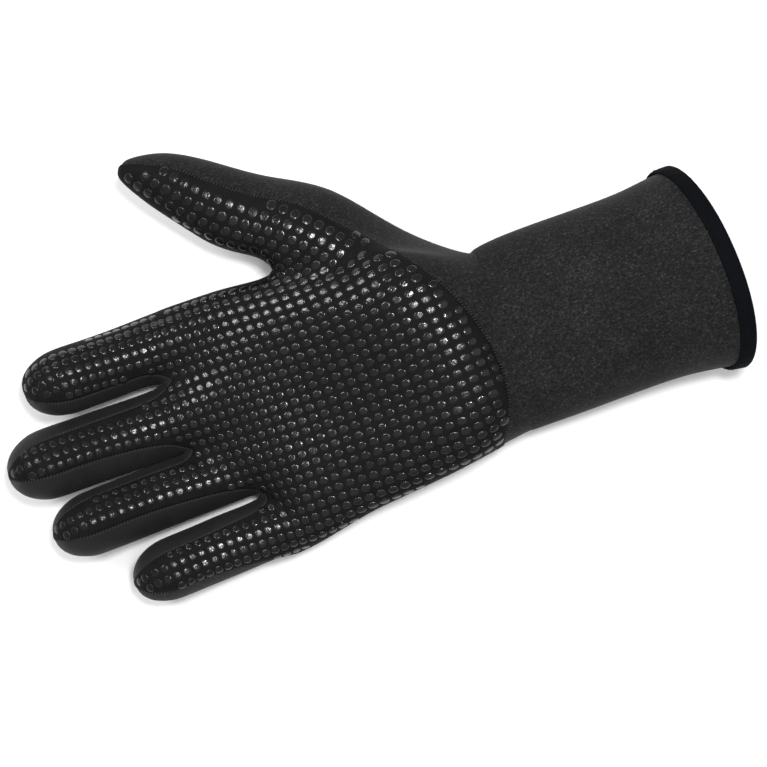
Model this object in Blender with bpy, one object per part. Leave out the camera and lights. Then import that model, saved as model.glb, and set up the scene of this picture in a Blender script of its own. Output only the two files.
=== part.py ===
"""A right-hand diving glove of 3 mm foam rubber, lying on its back with the palm up.

Metres, +Z up. X runs from the fingertips to the cuff, Y towards the thumb. The origin is on the flat back of
the hand, under the middle of the palm. One smooth hand surface is drawn through rings of points, cut into the
glove's panels along its seams, and each panel is given the thickness of the foam.
"""

import math

import bmesh
import bpy
from mathutils import Vector

# Lengths along the hand
HAND_LENGTH = 0.206  # middle fingertip to the notch where the thumb's edge meets the cuff, seen from above
WRIST_X = 0.064  # that notch
CUFF_LENGTH = 0.0885  # notch to the end of the cuff's wall at its sides
CUFF_SLANT = 0.0075  # how much further the cuff reaches on the palm's side, and how much less on the back
CUFF_SKEW = 0.0015  # how much further on the little finger's side, and how much less on the thumb's

# Widths and heights
PALM_WIDTH = 0.109
PALM_HEIGHT = 0.034
CUFF_WIDTH = 0.0795
CUFF_HEIGHT = 0.056
CUFF_FLARE = 0.0026  # widening of the last of the cuff, on each side
FINGER_WIDTH = 0.0281
FINGER_HEIGHT = 0.0265
FINGER_LIFT = 0.0018  # under the fingers' backs, where they leave the hand
FINGER_RISE = 0.020  # how far the relaxed middle finger lifts its tip
TIP_LENGTH = 0.0175  # the round end of a finger
TIP_DROOP = 0.35  # how far a finger's very end lies under its middle line, as a share of half its height

# Thumb
THUMB_LENGTH = 0.0755  # crotch to tip, seen from above
THUMB_WIDTH = 0.0328
THUMB_HEIGHT = 0.0285
THUMB_RISE = 0.011
THUMB_HEADING = math.radians(142.5)  # its direction seen from above, from +X
# Its middle at the crotch: shares of HAND_LENGTH before the notch, of PALM_WIDTH and of PALM_HEIGHT
THUMB_START = (0.296, 0.596, 0.691)

# Palm relief
THENAR_HEIGHT = 0.009  # the ball of the thumb
WEB_HEIGHT = 0.0025  # the fold of foam between the thumb and the hand
HOLLOW_DEPTH = 0.0025  # the hollow of the palm
HEEL_HEIGHT = 0.004  # the heel under the little finger

# Where the relief lies: centre along and across the hand, then how far it reaches along and across. Lengths
# along are shares of HAND_LENGTH before the notch, and those across are shares of PALM_WIDTH.
THENAR = (0.199, 0.330, 0.175, 0.312)
WEB = (0.320, 0.468, 0.087, 0.092)
HOLLOW = (0.330, -0.055, 0.146, 0.165)
HEEL = (0.165, -0.312, 0.165, 0.165)

# The seam that ends the palm panel is two half parabolas that share an apex: where that lies, and how far
# each half runs across the hand and drops along it, as the same shares.
HEEL_APEX = (0.017, -0.156)
HEEL_THUMB_HALF = (0.148, 0.624)
HEEL_LITTLE_HALF = (0.0437, 0.252)

# Walls and seams
WALL = 0.003
GRIP_PROUD = 0.0008  # the palm panel stands this much over the seams
BEND_SHARE = 0.6  # the wall is at most this share of the radius that it bends to
SEAM_GAP = 0.0005
SEAM_MITRE = 2.5  # at a corner of a seam the gap is at most this many times as wide
SINK = 0.0022  # how far the rounded hand would sink into the floor if its foam didn't flatten
FLATTENING = 0.0012  # height over which the flattened foam rounds back up
BINDING_WIDTH = 0.0055
BINDING_THICKNESS = 0.0011
BINDING_GAP = 0.0004
BINDING_RAMP = 0.008  # the cuff's underside rises over this length, so that the binding clears the floor

DETAIL = 1  # subdivision level of the hand surface
FIT_ROUNDS = 14  # passes that pull the smooth surface through its rings

# Panels, as material indices of the hand surface
PALM, BACK, INDEX_MIDDLE, MIDDLE_RING, RING_LITTLE = range(5)
PANEL_NAMES = (
    "palm_panel",
    "back_and_cuff",
    "gusset_index_middle",
    "gusset_middle_ring",
    "gusset_ring_little",
)

# Each finger: root and tip along the hand (shares of HAND_LENGTH before the notch), middle at its root and
# how far the tip lies aside from that (shares of PALM_WIDTH), width and rise (shares of the driving ones),
# and how far its middle is raised over the others (share of FINGER_HEIGHT).
FINGERS = {
    # name: (root, tip, middle, aside, width, rise, raised)
    "index": (0.605, 0.908, 0.372, -0.006, 0.960, 0.95, 0.030),
    "middle": (0.622, 0.992, 0.0965, 0.003, 1.020, 1.00, 0.057),
    "ring": (0.570, 0.954, -0.1530, -0.014, 0.935, 0.92, -0.057),
    "little": (0.505, 0.838, -0.412, -0.020, 0.915, 0.72, -0.038),
}

# Where the eight points of a finger's ring lie, in degrees from the thumb's side over the palm's side: at
# its root, and from the middle of its shaft on. Seams run along the angles where the panel changes.
ROOT_ANGLES = (0, 45, 90, 135, 180, 225, 270, 315)
RING_ANGLES = {
    "index": (-15, 38, 84, 130, 174, 218, 266, 306),
    "middle": (8, 50, 80, 111, 165, 218, 268, 318),
    "ring": (4, 42, 74, 108, 162, 215, 266, 316),
    "little": (10, 54, 78, 102, 128, 190, 250, 316),
}
RING_PANELS = {
    "index": (PALM, PALM, PALM, INDEX_MIDDLE, INDEX_MIDDLE, BACK, BACK, BACK),
    "middle": (INDEX_MIDDLE, PALM, PALM, MIDDLE_RING, MIDDLE_RING, BACK, BACK, INDEX_MIDDLE),
    "ring": (MIDDLE_RING, PALM, PALM, RING_LITTLE, RING_LITTLE, BACK, BACK, MIDDLE_RING),
    "little": (RING_LITTLE, PALM, PALM, PALM, BACK, BACK, BACK, RING_LITTLE),
}
SHAFT_SHARES = (0.0, 0.36, 0.72)  # rings from the web to a finger's round end
WEB_CLEAR = 0.0065  # the first of them lies this far past the web on each side
TIP_SHARES = (1.0, 0.62, 0.30, 0.09)  # rings on the round end, as shares of its length before the tip

# Crotches between fingers: their edge on the palm and back, and the web's middle, as shares of HAND_LENGTH
# before the notch
CROTCHES = ((0.631, 0.662), (0.640, 0.664), (0.527, 0.548))
OUTER_WEBS = (0.590, 0.500)  # the outer sides of the index and little fingers, where their own rings start
CROTCH_DEPTH = 0.62  # height of a crotch's edges, as a share of half the fingers' height

# Rings of the thumb: along its length, middle aside from its straight line towards the web, width (shares
# of THUMB_WIDTH), height (share of THUMB_HEIGHT), and how far its outer side lies back and its web side
# lies forward (share of its length). Degrees are from the outer side, which faces away from the fingers,
# over the palm's side.
THUMB_RINGS = (
    # along, aside, width, height, slant
    (0.030, -0.072, 1.090, 1.23, 0.130),
    (0.250, -0.043, 1.010, 1.12, 0.030),
    (0.450, -0.030, 0.955, 1.03, 0.0),
    (0.635, -0.073, 0.835, 0.92, 0.0),
    (0.790, -0.100, 0.670, 0.78, 0.0),
    (0.910, -0.090, 0.440, 0.54, 0.0),
    (0.980, -0.075, 0.235, 0.28, 0.0),
)
THUMB_ANGLES = (18, 68, 112, 158, 208, 246, 288, 332)
THUMB_PANELS = (BACK, PALM, PALM, PALM, BACK, BACK, BACK, BACK)

# Rings round the hand between the fingers and the wrist. Along the hand at the thumb's side, middle and
# little finger's side (shares of HAND_LENGTH before the notch), edges (shares of PALM_WIDTH), height (share
# of PALM_HEIGHT), squareness, and how far its points have moved from the fingers' spacing to the cuff's.
PALM_RINGS = (
    # x_thumb, x_middle, x_little, y_thumb, y_little, height, squareness, even
    (0.495, 0.495, 0.450, 0.492, -0.516, 0.93, 2.9, 0.15),
    (0.350, 0.365, 0.345, 0.466, -0.478, 1.00, 2.7, 0.40),
    (0.222, 0.215, 0.205, 0.440, -0.452, 1.10, 2.5, 0.70),
)
HEEL_RING = (0.105, 0.120, 0.070, 0.475, -0.415, 1.24, 2.3, 0.85)
FINGER_SPACING = (0.93, 0.78, 0.50, 0.23, -0.03, -0.27, -0.51, -0.79, -0.95)

# Rings round the cuff: along it (share of CUFF_LENGTH), middle and width (shares of CUFF_WIDTH), height
# (share of CUFF_HEIGHT), how far further on the palm's side of the ring lies (share of CUFF_LENGTH), and
# share of the flare, the slant and the skew.
CUFF_RINGS = (
    # along, middle, width, height, reach, flare
    (0.00, -0.062, 0.972, 0.80, 0.073, 0.0),
    (0.07, -0.057, 0.995, 0.83, 0.051, 0.0),
    (0.42, -0.053, 1.000, 0.94, 0.0, 0.0),
    (0.72, -0.053, 0.990, 0.99, 0.0, 0.08),
    (0.90, -0.057, 1.000, 1.00, 0.0, 0.50),
    (1.00, -0.065, 1.000, 1.00, 0.0, 1.00),
)

MATERIALS = {
    # name: (linear colour, roughness)
    "palm_panel": ((0.012, 0.013, 0.013), 0.38),
    "back_and_cuff": ((0.030, 0.030, 0.031), 0.85),
    "gusset": ((0.010, 0.010, 0.011), 0.60),
    "cuff_binding": ((0.006, 0.007, 0.009), 0.55),
}


def along_hand(share):
    """X of a share of the hand's length before the wrist notch."""
    return WRIST_X - share * HAND_LENGTH


def bell(x, y, place):
    """1 at the centre of a place in the palm's relief, falling smoothly to 0 over its reach."""
    along, across, reach_along, reach_across = place
    from_x = (x - along_hand(along)) / (reach_along * HAND_LENGTH)
    from_y = (y - across * PALM_WIDTH) / (reach_across * PALM_WIDTH)
    return math.exp(-(from_x**2) - from_y**2)


def palm_relief(x, y):
    """Height that the ball of the thumb, the fold beside it, the heel and the hollow add to the palm."""
    raised = THENAR_HEIGHT * bell(x, y, THENAR) + WEB_HEIGHT * bell(x, y, WEB)
    return raised + HEEL_HEIGHT * bell(x, y, HEEL) - HOLLOW_DEPTH * bell(x, y, HOLLOW)


class Cage:
    """The coarse mesh whose smooth limit is the hand surface."""

    def __init__(self):
        self.points = []
        self.faces = []
        self.panels = []
        self.loose = set()  # points that the smooth surface may pass at a distance

    def add(self, *points):
        first = len(self.points)
        self.points.extend(Vector(p) for p in points)
        return list(range(first, first + len(points)))

    def face(self, corners, panel):
        self.faces.append(corners)
        self.panels.append(panel)

    def bridge(self, near, far, panels, skip=()):
        """Quads between two rings of as many points, one panel for each column."""
        count = len(near)
        for k in range(count):
            if k not in skip:
                after = (k + 1) % count
                self.face((near[k], far[k], far[after], near[after]), panels[k])

    def close(self, ring, end, panels):
        """Triangles from a ring to its end point, one panel for each column."""
        for k, point in enumerate(ring):
            self.face((point, end, ring[(k + 1) % len(ring)]), panels[k])

    def drop_unused(self):
        """Leaves out the points that no face uses."""
        used = sorted({corner for corners in self.faces for corner in corners})
        place = {old: new for new, old in enumerate(used)}
        self.points = [self.points[k] for k in used]
        self.faces = [tuple(place[k] for k in corners) for corners in self.faces]
        self.loose = {place[k] for k in self.loose}


def finger_axis(name, share):
    """(middle, direction) of a finger's centreline, at a share of its length from root to tip."""
    root, tip, middle, aside, _, rise, raised = FINGERS[name]
    length = (tip - root) * HAND_LENGTH
    power = 1.7
    z = FINGER_LIFT + FINGER_HEIGHT * (0.5 + raised) + rise * FINGER_RISE * share**power
    slope = rise * FINGER_RISE * power * share ** (power - 1) / length
    point = Vector((along_hand(root) - share * length, (middle + aside * share) * PALM_WIDTH, z))
    return point, Vector((-1, 0, slope)).normalized()


def finger_ring(name, share, scale, turned, slant=0.0):
    """Eight points round a finger. turned goes from the root's angles, 0, to the finger's own, 1.

    slant moves the thumb's side of the ring towards the tip and the other side back.
    """
    centre, heading = finger_axis(name, share)
    up = Vector((0, 1, 0)).cross(heading)
    up = up if up.z > 0 else -up
    half_width = FINGERS[name][4] * FINGER_WIDTH / 2 * scale
    half_height = FINGER_HEIGHT / 2 * scale
    points = []
    for root_angle, own_angle in zip(ROOT_ANGLES, RING_ANGLES[name]):
        angle = math.radians(root_angle + (own_angle - root_angle) * turned)
        aside = Vector((0, math.cos(angle) * half_width, 0)) + heading * slant * math.cos(angle)
        points.append(centre + aside + up * math.sin(angle) * half_height)
    return points


def add_finger(cage, name, root_ring):
    """Rings from the finger's root to its round end, and the faces that close the tip."""
    root, tip = FINGERS[name][:2]
    length = (tip - root) * HAND_LENGTH
    first = list(FINGERS).index(name)
    webs = [OUTER_WEBS[0], *(web for _, web in CROTCHES), OUTER_WEBS[1]][first : first + 2]
    start = (sum(webs) / 2 - root) * HAND_LENGTH + WEB_CLEAR
    slant = (webs[0] - webs[1]) * HAND_LENGTH / 2
    end = length - TIP_LENGTH
    ring = root_ring
    places = [(start + s * (end - start)) / length for s in SHAFT_SHARES]
    shaft = [(place, 1, 0.35 + 0.65 * min(1, 2 * s), 1 - s) for place, s in zip(places, SHAFT_SHARES)]
    tip = [(1 - s * TIP_LENGTH / length, math.sqrt(1 - (1 - s) ** 2), 1, 0) for s in TIP_SHARES]
    droop = TIP_DROOP * FINGER_HEIGHT / 2
    for share, scale, turned, slanted in shaft + tip:
        drop = Vector((0, 0, droop * (1 - scale)))
        following = cage.add(*(p - drop for p in finger_ring(name, share, scale, turned, slant * slanted)))
        cage.bridge(ring, following, RING_PANELS[name])
        ring = following
    (end,) = cage.add(finger_axis(name, 1)[0] - Vector((0, 0, droop)))
    cage.close(ring, end, RING_PANELS[name])


def palm_ring(row):
    """Points round the hand: thumb's side, nine on the palm, little finger's side, nine on the back."""
    x_thumb, x_middle, x_little, y_thumb, y_little, height, square, even = row
    middle = (y_thumb + y_little) / 2 * PALM_WIDTH
    half = (y_thumb - y_little) / 2 * PALM_WIDTH
    top = height * PALM_HEIGHT
    shares = [f + (math.cos(math.radians(18 * (k + 1))) - f) * even for k, f in enumerate(FINGER_SPACING)]

    def point(share, side):
        edge = abs(share) ** 2
        x = x_middle + ((x_thumb if share > 0 else x_little) - x_middle) * edge
        rise = (1 - abs(share) ** square) ** (1 / square) if abs(share) < 1 else 0
        x, y = along_hand(x), middle + half * share
        relief = palm_relief(x, y) if side > 0 else 0
        return x, y, top / 2 + side * rise * top / 2 + relief

    palm = [point(s, 1) for s in shares]
    back = [point(s, -1) for s in reversed(shares)]
    return [point(1, 0), *palm, point(-1, 0), *back]


def heel_ring():
    """The palm ring whose palm side follows the seam at the end of the palm panel."""
    ring = palm_ring(HEEL_RING)
    apex_x, apex_y = along_hand(HEEL_APEX[0]), HEEL_APEX[1] * PALM_WIDTH
    for k in range(1, 11):
        _, y, z = ring[k]
        drop, run = HEEL_THUMB_HALF if y > apex_y else HEEL_LITTLE_HALF
        ring[k] = (apex_x - drop * HAND_LENGTH * ((y - apex_y) / (run * PALM_WIDTH)) ** 2, y, z)
    return ring


def cuff_ring(row):
    along, middle, width, height, reach, flare = row
    half_width = width * CUFF_WIDTH / 2 + flare * CUFF_FLARE
    half_height = height * CUFF_HEIGHT / 2
    ring = []
    for k in range(20):
        angle = math.radians(18 * k)
        lift = math.sin(angle)
        x = WRIST_X + (along + max(0, lift) ** 2 * reach) * CUFF_LENGTH
        x += flare * (lift * CUFF_SLANT - math.cos(angle) * CUFF_SKEW)
        z = CUFF_HEIGHT / 2 * height + lift * half_height
        ring.append((x, middle * CUFF_WIDTH + math.cos(angle) * half_width, z))
    return ring


def finger_roots(cage):
    """The twenty-point ring where the fingers join the hand, and each finger's own eight-point ring in it."""
    roots = [finger_ring(name, 0, 1, 0) for name in FINGERS]
    webs, palm_side, back_side = (cage.add(roots[0][k]) for k in (0, 1, 7))
    for k, root in enumerate(roots):
        palm_side += cage.add(root[2])
        back_side += cage.add(root[6])
        if k < len(CROTCHES):
            edge, web = CROTCHES[k]
            middle = (root[4] + roots[k + 1][0]) / 2
            rise = CROTCH_DEPTH * FINGER_HEIGHT / 2
            palm_side += cage.add((along_hand(edge), middle.y, middle.z + rise))
            back_side += cage.add((along_hand(edge), middle.y, middle.z - rise))
            webs += cage.add((along_hand(web), middle.y, middle.z))
    palm_side += cage.add(roots[-1][3])
    back_side += cage.add(roots[-1][5])
    webs += cage.add(roots[-1][4])
    fingers = []
    for k in range(len(roots)):
        palm, back = palm_side[2 * k : 2 * k + 3], back_side[2 * k : 2 * k + 3]
        fingers.append([webs[k], *palm, webs[k + 1], *reversed(back)])
    return [webs[0], *palm_side, webs[-1], *reversed(back_side)], fingers


def thumb_ring(share, aside, width, height, slant):
    """(eight points round the thumb, from its outer side over the palm's side; their middle)"""
    heading = Vector((math.cos(THUMB_HEADING), math.sin(THUMB_HEADING), 0))
    slope = 1.4 * THUMB_RISE * max(share, 0) ** 0.4 / THUMB_LENGTH
    along, across, height_share = THUMB_START
    centre = Vector((along_hand(along), across * PALM_WIDTH, height_share * PALM_HEIGHT))
    centre += heading * share * THUMB_LENGTH
    centre.z += THUMB_RISE * max(share, 0) ** 1.4
    web_side = Vector((0, 0, 1)).cross(heading)
    centre += web_side * aside * THUMB_WIDTH
    direction = Vector((heading.x, heading.y, slope)).normalized()
    up = direction.cross(web_side)
    up = up if up.z > 0 else -up
    points = []
    for degrees in THUMB_ANGLES:
        angle = math.radians(degrees)
        across = -web_side * math.cos(angle) * width * THUMB_WIDTH / 2
        across -= direction * math.cos(angle) * slant * THUMB_LENGTH
        points.append(centre + across + up * math.sin(angle) * height * THUMB_HEIGHT / 2)
    return points, centre


def add_thumb(cage, base_ring):
    ring = base_ring
    for row in THUMB_RINGS:
        following = cage.add(*thumb_ring(*row)[0])
        if ring is base_ring:
            cage.loose |= {following[3], following[4], following[5]}
        cage.bridge(ring, following, THUMB_PANELS)
        ring = following
    (end,) = cage.add(thumb_ring(1, THUMB_RINGS[-1][1], 0, 0, 0)[1])
    cage.close(ring, end, THUMB_PANELS)


def hand_cage():
    """The whole cage: fingers, palm, thumb and cuff. The cuff's end stays open."""
    cage = Cage()
    ring, fingers = finger_roots(cage)
    for name, root_ring in zip(FINGERS, fingers):
        add_finger(cage, name, root_ring)
    rows = [ring]
    rows += [cage.add(*palm_ring(row)) for row in PALM_RINGS]
    rows.append(cage.add(*heel_ring()))
    rows += [cage.add(*cuff_ring(row)) for row in CUFF_RINGS]
    hand_panels = [PALM] * 10 + [BACK] * 10
    crotch_row, ball_row, heel_row = rows[2], rows[3], rows[4]
    cage.loose |= {crotch_row[0], crotch_row[1], crotch_row[19], ball_row[1], ball_row[19]}
    for k, (near, far) in enumerate(zip(rows, rows[1:])):
        in_hand = far is heel_row or k < 4
        thumb_hole = (0, 19) if k in (2, 3) else ()
        cage.bridge(far, near, hand_panels if in_hand else [BACK] * 20, skip=thumb_hole)
    over = [heel_row[0], heel_row[1], ball_row[1], crotch_row[1]]
    under = [crotch_row[0], crotch_row[19], ball_row[19], heel_row[19]]
    add_thumb(cage, over + under)
    cage.drop_unused()
    return cage


def mesh_of(cage):
    mesh = bpy.data.meshes.new("hand_cage")
    mesh.from_pydata(cage.points, [], cage.faces)
    for _ in PANEL_NAMES:
        mesh.materials.append(None)
    mesh.polygons.foreach_set("material_index", cage.panels)
    return mesh


def evaluated(helper):
    graph = bpy.context.evaluated_depsgraph_get()
    graph.update()
    return helper.evaluated_get(graph)


def smooth_hand(cage, level):
    """The hand surface as a mesh whose points lie on the smooth surface through the cage's rings."""
    helper = bpy.data.objects.new("hand_cage", mesh_of(cage))
    bpy.context.scene.collection.objects.link(helper)
    rounding = helper.modifiers.new("rounding", "SUBSURF")
    rounding.levels = rounding.render_levels = 1
    for _ in range(FIT_ROUNDS):
        smooth = evaluated(helper).to_mesh()
        for vertex, wanted in zip(helper.data.vertices, cage.points):
            if vertex.index not in cage.loose:
                vertex.co += wanted - smooth.vertices[vertex.index].co
        evaluated(helper).to_mesh_clear()
        helper.data.update()
    rounding.levels = rounding.render_levels = level
    surface = bpy.data.meshes.new_from_object(evaluated(helper))
    bpy.data.objects.remove(helper)
    hand = bmesh.new()
    hand.from_mesh(surface)
    for vertex in hand.verts:
        vertex.co.z = flattened(vertex.co.z - SINK) + floor_clearance(vertex.co.x)
    hand.to_mesh(surface)
    hand.free()
    return surface


def flattened(z):
    """Height after the floor has pressed the foam flat."""
    if z <= -FLATTENING:
        return 0.0
    if z >= FLATTENING:
        return z
    return (z + FLATTENING) ** 2 / (4 * FLATTENING)


def floor_clearance(x):
    """Height of the cuff over the floor: none, but for the binding's thickness at the very end."""
    lowest_end = WRIST_X + CUFF_LENGTH - CUFF_SLANT
    share = (x - (lowest_end - BINDING_WIDTH - BINDING_RAMP)) / BINDING_RAMP
    share = max(0.0, min(1.0, share))
    return (BINDING_GAP + BINDING_THICKNESS) * share * share * (3 - 2 * share)


def wall_depths(surface):
    """The wall's thickness at each point of the hand surface: less where it bends too tightly."""
    hand = bmesh.new()
    hand.from_mesh(surface)
    hand.verts.ensure_lookup_table()
    around = [{other for f in vertex.link_faces for other in f.verts} - {vertex} for vertex in hand.verts]
    depths = []
    for vertex, others in zip(hand.verts, around):
        depth = WALL
        for other in others:
            apart = other.co - vertex.co
            bend = (other.normal - vertex.normal).dot(apart)
            if bend > 0:
                depth = min(depth, BEND_SHARE * apart.length_squared / bend)
        depths.append(depth)
    means = [sum(depths[other.index] for other in others) / len(others) for others in around]
    hand.free()
    return [min(depth, mean) for depth, mean in zip(depths, means)]


def pulled_in(vertex, faces):
    """Where a seam point of a panel goes so that the panel ends half a seam gap short of the seam."""
    sides = []
    for edge in vertex.link_edges:
        own = [f for f in edge.link_faces if f in faces]
        if len(own) == 1 and len(edge.link_faces) == 2:
            along = (edge.verts[1].co - edge.verts[0].co).normalized()
            side = own[0].normal.cross(along)
            middle = (edge.verts[0].co + edge.verts[1].co) / 2
            sides.append(side if side.dot(own[0].calc_center_median() - middle) > 0 else -side)
    inward = sum(sides, Vector())
    if inward.length < 1e-6:
        return vertex.co.copy()
    reach = inward.length / max(1e-6, inward.dot(sides[0])) if len(sides) == 2 else 1
    return vertex.co + inward.normalized() * min(SEAM_MITRE, reach) * SEAM_GAP / 2


def panel_object(surface, panel, outside, depths):
    """One closed panel: its part of the surface moved out and in along the normals, and a rim between."""
    hand = bmesh.new()
    hand.from_mesh(surface)
    faces = {f for f in hand.faces if f.material_index == panel}
    made = bmesh.new()
    layers = ({}, {})
    for vertex in {v for f in faces for v in f.verts}:
        place = pulled_in(vertex, faces)
        for layer, height in zip(layers, (outside, -depths[vertex.index])):
            layer[vertex] = made.verts.new(place + vertex.normal * height)
    for f in faces:
        made.faces.new([layers[0][v] for v in f.verts])
        made.faces.new([layers[1][v] for v in reversed(f.verts)])
        for loop in f.loops:
            if not any(other in faces for other in loop.edge.link_faces if other is not f):
                rim = sorted((loop.vert, loop.link_loop_next.vert), key=lambda v: v.index)
                (first, second), (under_first, under_second) = ([layer[v] for v in rim] for layer in layers)
                made.faces.new((first, second, under_second))
                made.faces.new((first, under_second, under_first))
    bmesh.ops.recalc_face_normals(made, faces=made.faces)
    mesh = bpy.data.meshes.new(PANEL_NAMES[panel])
    made.to_mesh(mesh)
    made.free()
    hand.free()
    return add_object(PANEL_NAMES[panel], mesh)


def cuff_end(surface):
    """The cuff's open end in order: (point, normal, direction back along the cuff) for each."""
    hand = bmesh.new()
    hand.from_mesh(surface)
    border = {v: [e for e in v.link_edges if e.is_boundary] for v in hand.verts if v.is_boundary}
    start = max(border, key=lambda v: v.co.y)
    order, previous, current = [], None, start
    while current is not start or not order:
        order.append(current)
        following = [e.other_vert(current) for e in border[current]]
        step = following[0] if following[0] is not previous else following[1]
        previous, current = current, step
    rim = []
    for vertex in order:
        inland = next(e.other_vert(vertex) for e in vertex.link_edges if not e.is_boundary)
        rim.append((vertex.co.copy(), vertex.normal.copy(), (inland.co - vertex.co).normalized()))
    hand.free()
    return rim


def binding_object(surface):
    """The tape folded over the cuff's end, as a U-shaped section swept round it."""
    near, far = BINDING_GAP, BINDING_GAP + BINDING_THICKNESS
    section = (
        # (back along the cuff, out from its outer face)
        (BINDING_WIDTH, near),
        (BINDING_WIDTH, far),
        (-near, far),
        (-far, near),
        (-far, -WALL - near),
        (-near, -WALL - far),
        (BINDING_WIDTH, -WALL - far),
        (BINDING_WIDTH, -WALL - near),
        (-near, -WALL - near),
        (-near, near),
    )
    made = bmesh.new()
    rings = []
    for point, normal, back in cuff_end(surface):
        rings.append([made.verts.new(point + back * along + normal * out) for along, out in section])
    for here, there in zip(rings, rings[1:] + rings[:1]):
        for k in range(len(section)):
            after = (k + 1) % len(section)
            made.faces.new((here[k], here[after], there[after], there[k]))
    bmesh.ops.recalc_face_normals(made, faces=made.faces)
    mesh = bpy.data.meshes.new("cuff_binding")
    made.to_mesh(mesh)
    made.free()
    return add_object("cuff_binding", mesh)


def add_object(name, mesh):
    obj = bpy.data.objects.new(name, mesh)
    bpy.context.scene.collection.objects.link(obj)
    family = "gusset" if name.startswith("gusset") else name
    mesh.materials.clear()
    mesh.materials.append(material(family))
    mesh.shade_smooth()
    mesh.set_sharp_from_angle(angle=math.radians(50))
    return obj


def material(name):
    made = bpy.data.materials.get(name)
    if made is None:
        colour, roughness = MATERIALS[name]
        made = bpy.data.materials.new(name)
        made.use_nodes = True
        shader = made.node_tree.nodes["Principled BSDF"]
        shader.inputs["Base Color"].default_value = (*colour, 1)
        shader.inputs["Roughness"].default_value = roughness
        shader.inputs["Metallic"].default_value = 0
    return made


def main():
    for obj in list(bpy.data.objects):
        bpy.data.objects.remove(obj)
    surface = smooth_hand(hand_cage(), DETAIL)
    depths = wall_depths(surface)
    for panel in range(len(PANEL_NAMES)):
        panel_object(surface, panel, GRIP_PROUD if panel == PALM else 0, depths)
    binding_object(surface)
    bpy.data.meshes.remove(surface)


main()
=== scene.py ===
"""A right-hand diving glove of 3 mm foam rubber, lying on its back with the palm up on a pale floor.

The hand surface is the CAD model's, drawn through the same rings of points and divided more finely. Each
panel gets rounded seam edges and a lining, and the grip dots, stitches and bound edge are added over it.
"""

import math
import random

import bmesh
import bpy
import numpy as np
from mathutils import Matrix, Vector, noise
from mathutils.bvhtree import BVHTree
from mathutils.interpolate import poly_3d_calc
from mathutils.kdtree import KDTree


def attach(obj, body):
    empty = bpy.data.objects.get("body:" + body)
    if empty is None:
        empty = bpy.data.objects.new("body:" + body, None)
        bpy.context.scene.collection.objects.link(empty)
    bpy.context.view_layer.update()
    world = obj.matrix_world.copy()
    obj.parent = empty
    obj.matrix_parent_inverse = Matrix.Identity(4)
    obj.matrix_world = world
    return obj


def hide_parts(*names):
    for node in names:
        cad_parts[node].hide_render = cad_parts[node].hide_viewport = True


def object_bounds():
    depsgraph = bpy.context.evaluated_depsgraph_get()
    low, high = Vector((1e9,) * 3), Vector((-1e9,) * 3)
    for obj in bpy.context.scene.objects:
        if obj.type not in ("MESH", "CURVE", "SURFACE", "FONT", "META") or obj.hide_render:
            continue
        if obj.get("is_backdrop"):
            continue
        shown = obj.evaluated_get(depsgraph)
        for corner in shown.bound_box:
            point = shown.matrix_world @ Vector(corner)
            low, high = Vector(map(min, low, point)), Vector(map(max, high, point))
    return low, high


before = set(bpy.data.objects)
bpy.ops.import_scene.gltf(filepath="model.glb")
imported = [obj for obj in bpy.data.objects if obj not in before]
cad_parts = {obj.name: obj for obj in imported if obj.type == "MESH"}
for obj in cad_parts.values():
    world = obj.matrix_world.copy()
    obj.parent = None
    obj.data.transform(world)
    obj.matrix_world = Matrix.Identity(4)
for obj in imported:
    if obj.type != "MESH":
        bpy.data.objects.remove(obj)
cad_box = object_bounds()

# Lengths along the hand
HAND_LENGTH = 0.206  # middle fingertip to the notch where the thumb's edge meets the cuff, seen from above
WRIST_X = 0.064  # that notch
CUFF_LENGTH = 0.0885  # notch to the end of the cuff's wall at its sides
CUFF_SLANT = 0.0075  # how much further the cuff reaches on the palm's side, and how much less on the back
CUFF_SKEW = 0.0015  # how much further on the little finger's side, and how much less on the thumb's

# Widths and heights
PALM_WIDTH = 0.109
PALM_HEIGHT = 0.034
CUFF_WIDTH = 0.0795
CUFF_HEIGHT = 0.056
CUFF_FLARE = 0.0026  # widening of the last of the cuff, on each side
FINGER_WIDTH = 0.0281
FINGER_HEIGHT = 0.0265
FINGER_LIFT = 0.0018  # under the fingers' backs, where they leave the hand
FINGER_RISE = 0.020  # how far the relaxed middle finger lifts its tip
FINGER_CURL = 1.7  # power of the length by which it does
TIP_LENGTH = 0.0175  # the round end of a finger
TIP_DROOP = 0.35  # how far a finger's very end lies under its middle line, as a share of half its height

# Thumb
THUMB_LENGTH = 0.0755  # crotch to tip, seen from above
THUMB_WIDTH = 0.0328
THUMB_HEIGHT = 0.0285
THUMB_RISE = 0.011
THUMB_CURL = 1.4
THUMB_HEADING = math.radians(142.5)  # its direction seen from above, from +X
# Its middle at the crotch: shares of HAND_LENGTH before the notch, of PALM_WIDTH and of PALM_HEIGHT
THUMB_START = (0.296, 0.596, 0.691)

# Palm relief
THENAR_HEIGHT = 0.009  # the ball of the thumb
WEB_HEIGHT = 0.0025  # the fold of foam between the thumb and the hand
HOLLOW_DEPTH = 0.0025  # the hollow of the palm
HEEL_HEIGHT = 0.004  # the heel under the little finger

# Where the relief lies: centre along and across the hand, then how far it reaches along and across. Lengths
# along are shares of HAND_LENGTH before the notch, and those across are shares of PALM_WIDTH.
THENAR = (0.199, 0.330, 0.175, 0.312)
WEB = (0.320, 0.468, 0.087, 0.092)
HOLLOW = (0.330, -0.055, 0.146, 0.165)
HEEL = (0.165, -0.312, 0.165, 0.165)

# The seam that ends the palm panel is two half parabolas that share an apex: where that lies, and how far
# each half runs across the hand and drops along it, as the same shares.
HEEL_APEX = (0.017, -0.156)
HEEL_THUMB_HALF = (0.148, 0.624)
HEEL_LITTLE_HALF = (0.0437, 0.252)

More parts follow.
